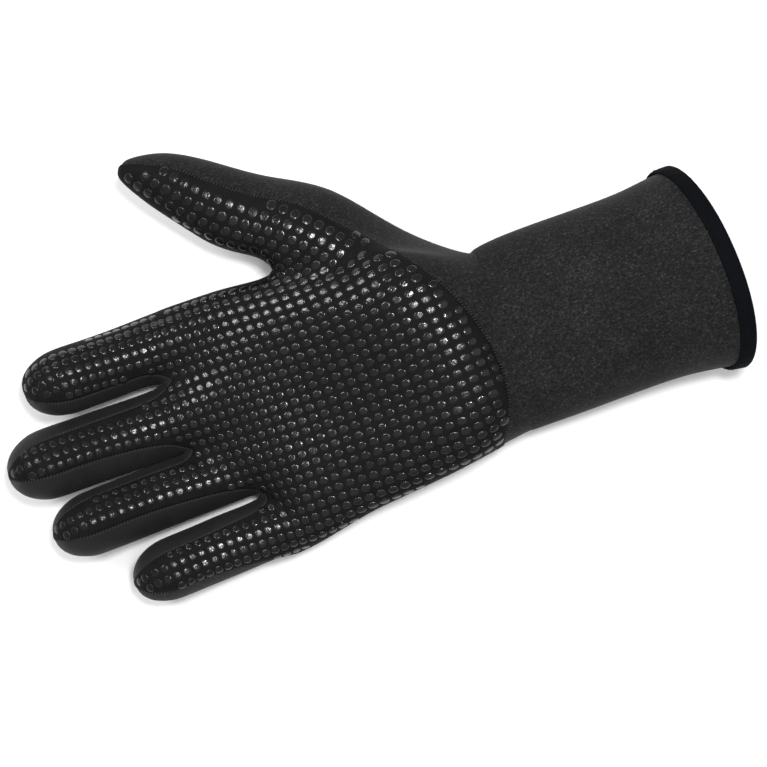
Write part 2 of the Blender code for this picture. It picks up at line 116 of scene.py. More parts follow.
# Walls and seams
WALL = 0.003
GRIP_PROUD = 0.0008  # the palm panel stands this much over the seams
BEND_SHARE = 0.6  # the wall is at most this share of the radius that it bends to
SEAM_GAP = 0.0005
SEAM_MITRE = 1.4  # at a corner of a seam the gap is at most this many times as wide
SINK = 0.0022  # how far the rounded hand would sink into the floor if its foam didn't flatten
FLATTENING = 0.0012  # height over which the flattened foam rounds back up
BINDING_WIDTH = 0.0055
BINDING_THICKNESS = 0.0011
BINDING_GAP = 0.0004
BINDING_RAMP = 0.008  # the cuff's underside rises over this length, so that the binding clears the floor

FIT_ROUNDS = 14  # passes that pull the smooth surface through its rings

# Panels, as material indices of the hand surface
PALM, BACK, INDEX_MIDDLE, MIDDLE_RING, RING_LITTLE = range(5)
PANEL_NAMES = (
    "palm_panel",
    "back_and_cuff",
    "gusset_index_middle",
    "gusset_middle_ring",
    "gusset_ring_little",
)

# Each finger: root and tip along the hand (shares of HAND_LENGTH before the notch), middle at its root and
# how far the tip lies aside from that (shares of PALM_WIDTH), width and rise (shares of the driving ones),
# and how far its middle is raised over the others (share of FINGER_HEIGHT).
FINGERS = {
    # name: (root, tip, middle, aside, width, rise, raised)
    "index": (0.605, 0.908, 0.372, -0.006, 0.960, 0.95, 0.030),
    "middle": (0.622, 0.992, 0.0965, 0.003, 1.020, 1.00, 0.057),
    "ring": (0.570, 0.954, -0.1530, -0.014, 0.935, 0.92, -0.057),
    "little": (0.505, 0.838, -0.412, -0.020, 0.915, 0.72, -0.038),
}

# Where the eight points of a finger's ring lie, in degrees from the thumb's side over the palm's side: at
# its root, and from the middle of its shaft on. Seams run along the angles where the panel changes.
ROOT_ANGLES = (0, 45, 90, 135, 180, 225, 270, 315)
RING_ANGLES = {
    "index": (-15, 38, 84, 130, 174, 218, 266, 306),
    "middle": (8, 50, 80, 111, 165, 218, 268, 318),
    "ring": (4, 42, 74, 108, 162, 215, 266, 316),
    "little": (10, 54, 78, 102, 128, 190, 250, 316),
}
RING_PANELS = {
    "index": (PALM, PALM, PALM, INDEX_MIDDLE, INDEX_MIDDLE, BACK, BACK, BACK),
    "middle": (INDEX_MIDDLE, PALM, PALM, MIDDLE_RING, MIDDLE_RING, BACK, BACK, INDEX_MIDDLE),
    "ring": (MIDDLE_RING, PALM, PALM, RING_LITTLE, RING_LITTLE, BACK, BACK, MIDDLE_RING),
    "little": (RING_LITTLE, PALM, PALM, PALM, BACK, BACK, BACK, RING_LITTLE),
}
SHAFT_SHARES = (0.0, 0.36, 0.72)  # rings from the web to a finger's round end
FIRST_TURN = 0.35  # how far the first has turned from the root's angles to the finger's own
WEB_CLEAR = 0.0065  # the first of them lies this far past the web on each side
TIP_SHARES = (1.0, 0.62, 0.30, 0.09)  # rings on the round end, as shares of its length before the tip

# Crotches between fingers: their edge on the palm and back, and the web's middle, as shares of HAND_LENGTH
# before the notch
CROTCHES = ((0.631, 0.662), (0.640, 0.664), (0.527, 0.548))
OUTER_WEBS = (0.590, 0.500)  # the outer sides of the index and little fingers, where their own rings start
CROTCH_DEPTH = 0.62  # height of a crotch's edges, as a share of half the fingers' height

# Rings of the thumb: along its length, middle aside from its straight line towards the web, width (shares
# of THUMB_WIDTH), height (share of THUMB_HEIGHT), and how far its outer side lies back and its web side
# lies forward (share of its length). Degrees are from the outer side, which faces away from the fingers,
# over the palm's side.
THUMB_RINGS = (
    # along, aside, width, height, slant
    (0.030, -0.072, 1.090, 1.23, 0.130),
    (0.250, -0.043, 1.010, 1.12, 0.030),
    (0.450, -0.030, 0.955, 1.03, 0.0),
    (0.635, -0.073, 0.835, 0.92, 0.0),
    (0.790, -0.100, 0.670, 0.78, 0.0),
    (0.910, -0.090, 0.440, 0.54, 0.0),
    (0.980, -0.075, 0.235, 0.28, 0.0),
)
THUMB_ANGLES = (18, 68, 112, 158, 208, 246, 288, 332)
THUMB_PANELS = (BACK, PALM, PALM, PALM, BACK, BACK, BACK, BACK)

# Rings round the hand between the fingers and the wrist. Along the hand at the thumb's side, middle and
# little finger's side (shares of HAND_LENGTH before the notch), edges (shares of PALM_WIDTH), height (share
# of PALM_HEIGHT), squareness, and how far its points have moved from the fingers' spacing to the cuff's.
PALM_RINGS = (
    # x_thumb, x_middle, x_little, y_thumb, y_little, height, squareness, even
    (0.495, 0.495, 0.450, 0.492, -0.516, 0.93, 2.9, 0.15),
    (0.350, 0.365, 0.345, 0.466, -0.478, 1.00, 2.7, 0.40),
    (0.222, 0.215, 0.205, 0.440, -0.452, 1.10, 2.5, 0.70),
)
HEEL_RING = (0.105, 0.120, 0.070, 0.475, -0.415, 1.24, 2.3, 0.85)
FINGER_SPACING = (0.93, 0.78, 0.50, 0.23, -0.03, -0.27, -0.51, -0.79, -0.95)

# Rings round the cuff: along it (share of CUFF_LENGTH), middle and width (shares of CUFF_WIDTH), height
# (share of CUFF_HEIGHT), how far further on the palm's side of the ring lies (share of CUFF_LENGTH), and
# share of the flare, the slant and the skew.
CUFF_RINGS = (
    # along, middle, width, height, reach, flare
    (0.00, -0.062, 0.972, 0.80, 0.073, 0.0),
    (0.07, -0.057, 0.995, 0.83, 0.051, 0.0),
    (0.42, -0.053, 1.000, 0.94, 0.0, 0.0),
    (0.72, -0.053, 0.990, 0.99, 0.0, 0.08),
    (0.90, -0.057, 1.000, 1.00, 0.0, 0.50),
    (1.00, -0.065, 1.000, 1.00, 0.0, 1.00),
)

# What the render has over the CAD model
FINE = 3  # subdivision level of the hand surface
SHARP = math.radians(55)  # edges that bend more than this aren't shaded smooth
ROLL = 0.0009  # radius that each panel's edge rolls down by at a seam
UNEVEN = 0.00035  # soft unevenness of the foam
UNEVEN_REACH = 0.022
HEEL_SWELL = 0.0036  # the panel's swell before its heel seam, and how far from the seam it is highest
HEEL_SWELL_REACH = 0.019
HEEL_SADDLE = (0.0036, -0.006, 0.017)  # extra swell between ball and heel: height, middle and reach in Y
HEEL_DIP = 0.0008  # the cuff's dip beside that seam
HEEL_DIP_REACH = 0.0035
HEEL_FACING = (0.1, 0.8)  # upward parts of the surface's direction between which swell and dip set in
HEEL_FADE = (0.055, 0.080)  # Y from where to where they fade on the thumb's side
WRIST_BEND = (0.064, 0.072, 0.105, 0.125)  # X where evening out that bend sets in, is full, fades and ends
WEB_TROUGH = (-0.0430, -0.0295, 0.006, 0.013)  # the little finger's trough: X, Y, inner and outer reach
EVEN_ROUNDS = 30  # passes that even out both
EVEN_STEP = 0.6  # how far a pass moves a point towards the middle of its neighbours

# Grip dots, on the palm panel's flat pattern: u runs along the hand towards the cuff, v across it towards
# the thumb and on along the thumb.
PATTERN_U = (-0.240, 0.075)  # its reach
PATTERN_V = (-0.080, 0.150)
DOT_ACROSS = 0.0043  # pitch across the hand
DOT_ACROSS_THUMB = 0.0050
THUMB_FROM = (0.045, 0.065)  # v over which the thumb's pitch takes over
DOT_ALONG_FINGER = 0.0041  # pitch along it
DOT_ALONG_PALM = 0.0052
PALM_FROM = (-0.050, 0.0)  # u over which the palm's pitch takes over
DOT_HALF_ALONG = 0.42  # half of a dot's length, as a share of its pitch
DOT_HALF_ACROSS = 0.38
DOT_PROFILE = (
    # share of its half length or width, height in mm
    (0.0, 0.27),
    (0.34, 0.268),
    (0.62, 0.25),
    (0.82, 0.20),
    (0.95, 0.09),
    (1.05, -0.14),
)
DOT_SIDES = 14
DOT_TURNS = [math.tau * k / DOT_SIDES for k in range(DOT_SIDES)]
DOT_TILT = 0.05  # most slope of a dot's top, in mm over its half size
DOT_ROUGH = 0.03  # most unevenness of the top in mm, and of the edge as a share
DOT_SIZES = (0.93, 1.05)  # least and most of its size
DOT_RIM = 0.9  # share of its size from which a ring is its rim
DOT_EDGE = 1.12  # a dot this many times as wide has to fit on the panel
DOT_OVERHANG = 0.0002  # how far past the panel that may reach
DOT_FACING = 0.35  # least upward part of the palm's direction where a dot lies
DOT_BEND = 0.75  # least share of the panel's direction in a dot's middle that is left at its edge
DOT_APART = 0.0031  # the least distance between two dots' middles
DOT_DULLING = (-0.115, -0.080, 0.3)  # X from where to where the dots get their gloss, and how Y shifts that
DOT_DULLING_THUMB = (0.078, 0.108)  # Y from where to where they lose it on the thumb
PATTERN_SHEAR = 3.0  # bend of the pattern's rows towards the fingers on the thumb's side, for each metre
SHEAR_FROM = -0.010  # v where that starts
SHEAR_FADE = 0.05  # length towards the fingers over which it fades
WEB_FOLD = 0.009  # the pattern's width in the fold beside the thumb
PATTERN_ROUNDS = 400  # passes that even out the pattern
PATTERN_STIFFNESS = 0.15  # how much it resists shearing against stretching
PATTERN_STEP = 0.6  # how far a pass moves a point towards where its neighbours want it
PATTERN_GLIDE = 0.92  # share of a pass's move that the next one keeps

STITCH_PITCH = 0.0013
STITCH_HALF = 0.0005  # half of a stitch's reach over the seam
STITCH_SLANT = 0.0003
STITCH_SIZES = (0.9, 1.1)  # least and most of a stitch's size
STITCH_LIFT = 0.6  # share of the step at the seam that it is raised by
STITCH_SHAPE = ((-1, -0.16), (-0.55, 0.02), (0, -0.05), (0.55, 0.02), (1, -0.16))  # share of its reach, mm
THREAD = 0.00017  # radius
THREAD_SIDES = 6
THREAD_END = 0.55  # share of the radius that is left where it enters the fabric
HEM_PITCH = 0.0034  # the binding's stitches, which run along it
HEM_HALF = 0.0012
HEM_EDGE = 0.0012  # their distance from the tape's edge
HEM_SHAPE = ((-1, -0.15), (-0.6, 0.08), (0.6, 0.08), (1, -0.15))
PUCKER = (0.035, 1.9, 0.37)  # how much the tape's thickness varies, and its two waves, in radians a step

# The photo's scale, and the camera
PIXELS = 767
PIXEL = 0.0004065  # what one of them shows at CAMERA_REACH
CAMERA_REACH = 0.75
CAMERA_PLACE = (0.0144, -0.0050, 0.775)
CAMERA_TURN = math.radians(-20)
SENSOR = 36

FLOOR_HALF = 2.5
FLOOR_CLEAR = 0.0001

AMBIENT = 0.36
CENTRE = (0, 0, 0.02)
LIGHTS = (
    # name, place, where it is aimed, width and height, power
    ("key", (0.14, 0.08, 0.90), CENTRE, (0.12, 0.12), 5.6),
    ("second", (0.06, -0.16, 0.90), CENTRE, (0.12, 0.12), 0.9),
    ("left", (-0.40, 0.39, 0.72), CENTRE, (0.22, 0.22), 3.2),
    ("side", (-0.25, 0.85, 0.32), (-0.03, 0.02, 0.02), (0.6, 0.3), 1.2),
    ("fill", (-0.15, -0.60, 1.10), CENTRE, (1.8, 1.4), 2),
    ("cuff", (0.75, -0.10, 0.75), (0.08, 0, 0.02), (0.8, 0.6), 0.8),
)


def along_hand(share):
    """X of a share of the hand's length before the wrist notch."""
    return WRIST_X - share * HAND_LENGTH


def bell(x, y, place):
    """1 at the centre of a place in the palm's relief, falling smoothly to 0 over its reach."""
    along, across, reach_along, reach_across = place
    from_x = (x - along_hand(along)) / (reach_along * HAND_LENGTH)
    from_y = (y - across * PALM_WIDTH) / (reach_across * PALM_WIDTH)
    return math.exp(-(from_x**2) - from_y**2)


def palm_relief(x, y):
    """Height that the ball of the thumb, the fold beside it, the heel and the hollow add to the palm."""
    raised = THENAR_HEIGHT * bell(x, y, THENAR) + WEB_HEIGHT * bell(x, y, WEB)
    return raised + HEEL_HEIGHT * bell(x, y, HEEL) - HOLLOW_DEPTH * bell(x, y, HOLLOW)


class Cage:
    """The coarse mesh whose smooth limit is the hand surface."""

    def __init__(self):
        self.points = []
        self.faces = []
        self.panels = []
        self.loose = set()  # points that the smooth surface may pass at a distance
        self.flat = {}  # place on the flat pattern of the palm panel's points

    def add(self, *points):
        first = len(self.points)
        self.points.extend(Vector(p) for p in points)
        return list(range(first, first + len(points)))

    def face(self, corners, panel):
        self.faces.append(corners)
        self.panels.append(panel)

    def bridge(self, near, far, panels, skip=()):
        """Quads between two rings of as many points, one panel for each column."""
        count = len(near)
        for k in range(count):
            if k not in skip:
                after = (k + 1) % count
                self.face((near[k], far[k], far[after], near[after]), panels[k])

    def close(self, ring, end, panels):
        """Triangles from a ring to its end point, one panel for each column."""
        for k, point in enumerate(ring):
            self.face((point, end, ring[(k + 1) % len(ring)]), panels[k])

    def drop_unused(self):
        """Leaves out the points that no face uses."""
        used = sorted({corner for corners in self.faces for corner in corners})
        place = {old: new for new, old in enumerate(used)}
        self.points = [self.points[k] for k in used]
        self.faces = [tuple(place[k] for k in corners) for corners in self.faces]
        self.loose = {place[k] for k in self.loose}
        self.flat = {place[k]: flat for k, flat in self.flat.items() if k in place}


def finger_axis(name, share):
    """(middle, direction) of a finger's centreline, at a share of its length from root to tip."""
    root, tip, middle, aside, _, rise, raised = FINGERS[name]
    length = (tip - root) * HAND_LENGTH
    z = FINGER_LIFT + FINGER_HEIGHT * (0.5 + raised) + rise * FINGER_RISE * share**FINGER_CURL
    slope = rise * FINGER_RISE * FINGER_CURL * share ** (FINGER_CURL - 1) / length
    point = Vector((along_hand(root) - share * length, (middle + aside * share) * PALM_WIDTH, z))
    return point, Vector((-1, 0, slope)).normalized()


def finger_ring(name, share, scale, turned, slant=0.0):
    """Eight points round a finger. turned goes from the root's angles, 0, to the finger's own, 1.

    slant moves the thumb's side of the ring towards the tip and the other side back.
    """
    centre, heading = finger_axis(name, share)
    up = Vector((0, 1, 0)).cross(heading)
    up = up if up.z > 0 else -up
    half_width = FINGERS[name][4] * FINGER_WIDTH / 2 * scale
    half_height = FINGER_HEIGHT / 2 * scale
    points = []
    for root_angle, own_angle in zip(ROOT_ANGLES, RING_ANGLES[name]):
        angle = math.radians(root_angle + (own_angle - root_angle) * turned)
        aside = Vector((0, math.cos(angle) * half_width, 0)) + heading * slant * math.cos(angle)
        points.append(centre + aside + up * math.sin(angle) * half_height)
    return points


def add_finger(cage, name, root_ring):
    """Rings from the finger's root to its round end, and the faces that close the tip."""
    root, tip = FINGERS[name][:2]
    length = (tip - root) * HAND_LENGTH
    first = list(FINGERS).index(name)
    webs = [OUTER_WEBS[0], *(web for _, web in CROTCHES), OUTER_WEBS[1]][first : first + 2]
    start = (sum(webs) / 2 - root) * HAND_LENGTH + WEB_CLEAR
    slant = (webs[0] - webs[1]) * HAND_LENGTH / 2
    end = length - TIP_LENGTH
    ring = root_ring
    shaft = []
    for s in SHAFT_SHARES:
        turned = min(1, FIRST_TURN + 2 * s * (1 - FIRST_TURN))
        shaft.append(((start + s * (end - start)) / length, 1, turned, 1 - s))
    round_end = [(1 - s * TIP_LENGTH / length, math.sqrt(1 - (1 - s) ** 2), 1, 0) for s in TIP_SHARES]
    droop = TIP_DROOP * FINGER_HEIGHT / 2
    rings = []
    for share, scale, turned, slanted in shaft + round_end:
        drop = Vector((0, 0, droop * (1 - scale)))
        following = cage.add(*(p - drop for p in finger_ring(name, share, scale, turned, slant * slanted)))
        cage.bridge(ring, following, RING_PANELS[name])
        rings.append((share, following))
        ring = following
    (end,) = cage.add(finger_axis(name, 1)[0] - Vector((0, 0, droop)))
    cage.close(ring, end, RING_PANELS[name])
    lay_finger(cage, name, root_ring[2], rings, end)


def palm_ring(row):
    """Points round the hand: thumb's side, nine on the palm, little finger's side, nine on the back."""
    x_thumb, x_middle, x_little, y_thumb, y_little, height, square, even = row
    middle = (y_thumb + y_little) / 2 * PALM_WIDTH
    half = (y_thumb - y_little) / 2 * PALM_WIDTH
    top = height * PALM_HEIGHT
    shares = [f + (math.cos(math.radians(18 * (k + 1))) - f) * even for k, f in enumerate(FINGER_SPACING)]

    def point(share, side):
        edge = abs(share) ** 2
        x = x_middle + ((x_thumb if share > 0 else x_little) - x_middle) * edge
        rise = (1 - abs(share) ** square) ** (1 / square) if abs(share) < 1 else 0
        x, y = along_hand(x), middle + half * share
        relief = palm_relief(x, y) if side > 0 else 0
        return x, y, top / 2 + side * rise * top / 2 + relief

    palm = [point(s, 1) for s in shares]
    back = [point(s, -1) for s in reversed(shares)]
    return [point(1, 0), *palm, point(-1, 0), *back]


def heel_ring():
    """The palm ring whose palm side follows the seam at the end of the palm panel."""
    ring = palm_ring(HEEL_RING)
    apex_x, apex_y = along_hand(HEEL_APEX[0]), HEEL_APEX[1] * PALM_WIDTH
    for k in range(1, 11):
        _, y, z = ring[k]
        drop, run = HEEL_THUMB_HALF if y > apex_y else HEEL_LITTLE_HALF
        ring[k] = (apex_x - drop * HAND_LENGTH * ((y - apex_y) / (run * PALM_WIDTH)) ** 2, y, z)
    return ring


def cuff_ring(row):
    """Twenty points round the cuff, from the thumb's side over the palm's side."""
    along, middle, width, height, reach, flare = row
    half_width = width * CUFF_WIDTH / 2 + flare * CUFF_FLARE
    half_height = height * CUFF_HEIGHT / 2
    ring = []
    for k in range(20):
        angle = math.radians(18 * k)
        lift = math.sin(angle)
        x = WRIST_X + (along + max(0, lift) ** 2 * reach) * CUFF_LENGTH
        x += flare * (lift * CUFF_SLANT - math.cos(angle) * CUFF_SKEW)
        z = CUFF_HEIGHT / 2 * height + lift * half_height
        ring.append((x, middle * CUFF_WIDTH + math.cos(angle) * half_width, z))
    return ring


def finger_roots(cage):
    """The twenty-point ring where the fingers join the hand, and each finger's own eight-point ring in it."""
    roots = [finger_ring(name, 0, 1, 0) for name in FINGERS]
    webs, palm_side, back_side = (cage.add(roots[0][k]) for k in (0, 1, 7))
    for k, root in enumerate(roots):
        palm_side += cage.add(root[2])
        back_side += cage.add(root[6])
        if k < len(CROTCHES):
            edge, web = CROTCHES[k]
            middle = (root[4] + roots[k + 1][0]) / 2
            rise = CROTCH_DEPTH * FINGER_HEIGHT / 2
            palm_side += cage.add((along_hand(edge), middle.y, middle.z + rise))
            back_side += cage.add((along_hand(edge), middle.y, middle.z - rise))
            webs += cage.add((along_hand(web), middle.y, middle.z))
    palm_side += cage.add(roots[-1][3])
    back_side += cage.add(roots[-1][5])
    webs += cage.add(roots[-1][4])
    fingers = []
    for k in range(len(roots)):
        palm, back = palm_side[2 * k : 2 * k + 3], back_side[2 * k : 2 * k + 3]
        fingers.append([webs[k], *palm, webs[k + 1], *reversed(back)])
    return [webs[0], *palm_side, webs[-1], *reversed(back_side)], fingers


def thumb_ring(share, aside, width, height, slant):
    """(eight points round the thumb, from its outer side over the palm's side; their middle)"""
    heading = Vector((math.cos(THUMB_HEADING), math.sin(THUMB_HEADING), 0))
    slope = THUMB_CURL * THUMB_RISE * max(share, 0) ** (THUMB_CURL - 1) / THUMB_LENGTH
    along, across, height_share = THUMB_START
    centre = Vector((along_hand(along), across * PALM_WIDTH, height_share * PALM_HEIGHT))
    centre += heading * share * THUMB_LENGTH
    centre.z += THUMB_RISE * max(share, 0) ** THUMB_CURL
    web_side = Vector((0, 0, 1)).cross(heading)
    centre += web_side * aside * THUMB_WIDTH
    direction = Vector((heading.x, heading.y, slope)).normalized()
    up = direction.cross(web_side)
    up = up if up.z > 0 else -up
    points = []
    for degrees in THUMB_ANGLES:
        angle = math.radians(degrees)
        across = -web_side * math.cos(angle) * width * THUMB_WIDTH / 2
        across -= direction * math.cos(angle) * slant * THUMB_LENGTH
        points.append(centre + across + up * math.sin(angle) * height * THUMB_HEIGHT / 2)
    return points, centre


def add_thumb(cage, base_ring):
    """Rings from the hole beside the palm to the thumb's end, and the faces that close it."""
    ring = base_ring
    rings = []
    for row in THUMB_RINGS:
        following = cage.add(*thumb_ring(*row)[0])
        if ring is base_ring:
            cage.loose |= {following[3], following[4], following[5]}
        cage.bridge(ring, following, THUMB_PANELS)
        rings.append(following)
        ring = following
    (end,) = cage.add(thumb_ring(1, THUMB_RINGS[-1][1], 0, 0, 0)[1])
    cage.close(ring, end, THUMB_PANELS)
    lay_thumb(cage, base_ring, rings, end)


def lay_palm(cage, row, knuckles):
    """Flat places of a row of the palm. Along the knuckles the foam's ups and downs don't count."""
    points = [cage.points[k] for k in row[:11]]
    across = {5: points[5].y}
    for step in (-1, 1):
        for k in range(5 + step, 5 + 6 * step, step):
            here, there = points[k - step], points[k]
            length = abs(there.y - here.y)
            if not knuckles or k in (0, 10):
                length = math.hypot(length, there.z - here.z)
            across[k] = across[k - step] - step * length
    for k, point in enumerate(points):
        weight = max(0.0, min(1.0, 1 + point.x / SHEAR_FADE))
        shear = PATTERN_SHEAR * max(0.0, across[k] - SHEAR_FROM) ** 2 * weight
        cage.flat[row[k]] = (point.x + shear, across[k])


def lay_finger(cage, name, crown, rings, end):
    """Flat places of a finger's rings, which spread to both sides of the line over its crown."""
    u, v = cage.flat[crown]
    previous = finger_axis(name, 0)[0]
    for share, ring in rings:
        centre, heading = finger_axis(name, share)
        u -= (centre - previous).length
        previous = centre
        points = [cage.points[k] for k in ring]
        across = {2: v}
        for k in (1, 0):
            across[k] = across[k + 1] + (points[k] - points[k + 1]).length
        for k in (3, 4):
            across[k] = across[k - 1] - (points[k] - points[k - 1]).length
        for k, place in across.items():
            cage.flat[ring[k]] = (u - (points[k] - centre).dot(heading), place)
    cage.flat[end] = (u - (cage.points[end] - previous).length, v)


def lay_thumb(cage, base_ring, rings, end):
    """Flat places of the thumb's rings: columns keep their own lengths, and rows spread from their middle."""
    u = (cage.flat[base_ring[2]][0] + cage.flat[base_ring[3]][0]) / 2
    across = {k: cage.flat[base_ring[k]][1] for k in range(1, 5)}
    previous = base_ring
    for ring in rings:
        points = [cage.points[k] for k in ring]
        half = (points[2] - points[3]).length / 2
        along = {2: u + half, 3: u - half}
        along[1] = along[2] + (points[1] - points[2]).length
        along[4] = along[3] - (points[4] - points[3]).length
        for k, place in along.items():
            across[k] += (points[k] - cage.points[previous[k]]).length
            cage.flat[ring[k]] = (place, across[k])
        previous = ring
    last = sum(across.values()) / 4
    cage.flat[end] = (u, last + (cage.points[end] - cage.points[previous[2]]).length)


def hand_cage():
    """The whole cage: fingers, palm, thumb and cuff. The cuff's end stays open."""
    cage = Cage()
    ring, fingers = finger_roots(cage)
    lay_palm(cage, ring, True)
    for name, root_ring in zip(FINGERS, fingers):
        add_finger(cage, name, root_ring)
    rows = [ring]
    rows += [cage.add(*palm_ring(row)) for row in PALM_RINGS]
    rows.append(cage.add(*heel_ring()))
    for row in rows[1:]:
        lay_palm(cage, row, False)
    rows += [cage.add(*cuff_ring(row)) for row in CUFF_RINGS]
    hand_panels = [PALM] * 10 + [BACK] * 10
    crotch_row, ball_row, heel_row = rows[2], rows[3], rows[4]
    u, v = cage.flat[crotch_row[0]]
    cage.flat[crotch_row[0]] = (u - WEB_FOLD, v)
    cage.loose |= {crotch_row[0], crotch_row[1], crotch_row[19], ball_row[1], ball_row[19]}
    for k, (near, far) in enumerate(zip(rows, rows[1:])):
        in_hand = far is heel_row or k < 4
        thumb_hole = (0, 19) if k in (2, 3) else ()
        cage.bridge(far, near, hand_panels if in_hand else [BACK] * 20, skip=thumb_hole)
    over = [heel_row[0], heel_row[1], ball_row[1], crotch_row[1]]
    under = [crotch_row[0], crotch_row[19], ball_row[19], heel_row[19]]
    add_thumb(cage, over + under)
    cage.drop_unused()
    return cage


def mesh_of(cage):
    mesh = bpy.data.meshes.new("hand_cage")
    mesh.from_pydata(cage.points, [], cage.faces)
    for _ in PANEL_NAMES:
        mesh.materials.append(None)
    mesh.polygons.foreach_set("material_index", cage.panels)
    flat = mesh.uv_layers.new(name="flat")
    for polygon in mesh.polygons:
        if polygon.material_index == PALM:
            for loop in polygon.loop_indices:
                flat.data[loop].uv = cage.flat[mesh.loops[loop].vertex_index]
    return mesh


def in_scene(name, data):
    """A new object of the scene."""
    made = bpy.data.objects.new(name, data)
    bpy.context.scene.collection.objects.link(made)
    return made


def evaluated(helper):
    graph = bpy.context.evaluated_depsgraph_get()
    graph.update()
    return helper.evaluated_get(graph)


def smooth_hand(cage, level):
    """The hand surface as a mesh whose points lie on the smooth surface through the cage's rings."""
    helper = in_scene("hand_cage", mesh_of(cage))
    rounding = helper.modifiers.new("rounding", "SUBSURF")
    rounding.levels = rounding.render_levels = 1
    for _ in range(FIT_ROUNDS):
        smooth = evaluated(helper).to_mesh()
        for vertex, wanted in zip(helper.data.vertices, cage.points):
            if vertex.index not in cage.loose:
                vertex.co += wanted - smooth.vertices[vertex.index].co
        evaluated(helper).to_mesh_clear()
        helper.data.update()
    rounding.levels = rounding.render_levels = level
    surface = bpy.data.meshes.new_from_object(evaluated(helper))
    bpy.data.objects.remove(helper)
    hand = opened(surface)
    hand.normal_update()
    for vertex in hand.verts:
        uneven = UNEVEN * noise.noise(vertex.co / UNEVEN_REACH)
        vertex.co += vertex.normal * (uneven + heel_relief(vertex.co, vertex.normal))
    soften(hand)
    for vertex in hand.verts:
        vertex.co.z = flattened(vertex.co.z - SINK) + floor_clearance(vertex.co.x)
    hand.to_mesh(surface)
    hand.free()
    return surface


def soften(hand):
    """Evens out the bend where the wrist widens into the cuff, and the trough beside the little finger."""
    start, full, fade, end = WRIST_BEND
    x, y, inner, outer = WEB_TROUGH
    moved = []
    for vertex in hand.verts:
        weight = eased(vertex.co.x, start, full) * (1 - eased(vertex.co.x, fade, end))
        if vertex.normal.z > 0:
            weight += 1 - eased(math.hypot(vertex.co.x - x, vertex.co.y - y), inner, outer)
        if weight > 0:
            moved.append((vertex, weight, [edge.other_vert(vertex) for edge in vertex.link_edges]))
    for _ in range(EVEN_ROUNDS):
        means = [sum((other.co for other in others), Vector()) / len(others) for _, _, others in moved]
        for (vertex, weight, _), mean in zip(moved, means):
            vertex.co = vertex.co.lerp(mean, EVEN_STEP * weight)


def heel_relief(point, normal):
    """How far the palm panel swells before its heel seam, and how far the cuff dips just past it."""
    across = point.y - HEEL_APEX[1] * PALM_WIDTH
    drop, run = HEEL_THUMB_HALF if across > 0 else HEEL_LITTLE_HALF
    drop, run = drop * HAND_LENGTH, run * PALM_WIDTH
    seam_x = along_hand(HEEL_APEX[0]) - drop * (across / run) ** 2
    before = (seam_x - point.x) / math.hypot(1, 2 * drop * across / run**2)
    more, middle, spread = HEEL_SADDLE
    swell = HEEL_SWELL + more * math.exp(-(((point.y - middle) / spread) ** 2))
    height, reach = (swell, HEEL_SWELL_REACH) if before > 0 else (-HEEL_DIP, HEEL_DIP_REACH)
    share = abs(before) / reach
    facing = eased(normal.z, *HEEL_FACING) * (1 - eased(point.y, *HEEL_FADE))
    return height * facing * share * math.exp(1 - share)


def eased(value, low, high):
    """0 up to low, 1 from high on, and a smooth step between."""
    share = max(0.0, min(1.0, (value - low) / (high - low)))
    return share * share * (3 - 2 * share)


def flattened(z):
    """Height after the floor has pressed the foam flat."""
    if z <= -FLATTENING:
        return 0.0
    if z >= FLATTENING:
        return z
    return (z + FLATTENING) ** 2 / (4 * FLATTENING)


def floor_clearance(x):
    """Height of the cuff over the floor: none, but for the binding's thickness at the very end."""
    lowest_end = WRIST_X + CUFF_LENGTH - CUFF_SLANT
    high = lowest_end - BINDING_WIDTH
    return (BINDING_GAP + BINDING_THICKNESS) * eased(x, high - BINDING_RAMP, high)


def opened(surface):
    """The hand surface's points and faces, to look at or work on."""
    hand = bmesh.new()
    hand.from_mesh(surface)
    return hand


def wall_depths(surface):
    """The wall's thickness at each point of the hand surface: less where it bends too tightly."""
    hand = opened(surface)
    hand.verts.ensure_lookup_table()
    around = [{other for f in vertex.link_faces for other in f.verts} - {vertex} for vertex in hand.verts]
    depths = []
    for vertex, others in zip(hand.verts, around):
        depth = WALL
        for other in others:
            apart = other.co - vertex.co
            bend = (other.normal - vertex.normal).dot(apart)
            if bend > 0:
                depth = min(depth, BEND_SHARE * apart.length_squared / bend)
        depths.append(depth)
    means = [sum(depths[other.index] for other in others) / len(others) for others in around]
    hand.free()
    return [min(depth, mean) for depth, mean in zip(depths, means)]


def inward(vertex, faces):
    """The way from a seam point into its panel, long enough to be one away from the seam on both sides."""
    sides = []
    for edge in vertex.link_edges:
        own = [f for f in edge.link_faces if f in faces]
        if len(own) == 1 and len(edge.link_faces) == 2:
            along = (edge.verts[1].co - edge.verts[0].co).normalized()
            side = own[0].normal.cross(along)
            middle = (edge.verts[0].co + edge.verts[1].co) / 2
            sides.append(side if side.dot(own[0].calc_center_median() - middle) > 0 else -side)
    total = sum(sides, Vector())
    if total.length < 1e-6:
        return Vector()
    reach = total.length / max(1e-6, total.dot(sides[0])) if len(sides) == 2 else 1
    return total.normalized() * min(SEAM_MITRE, reach)


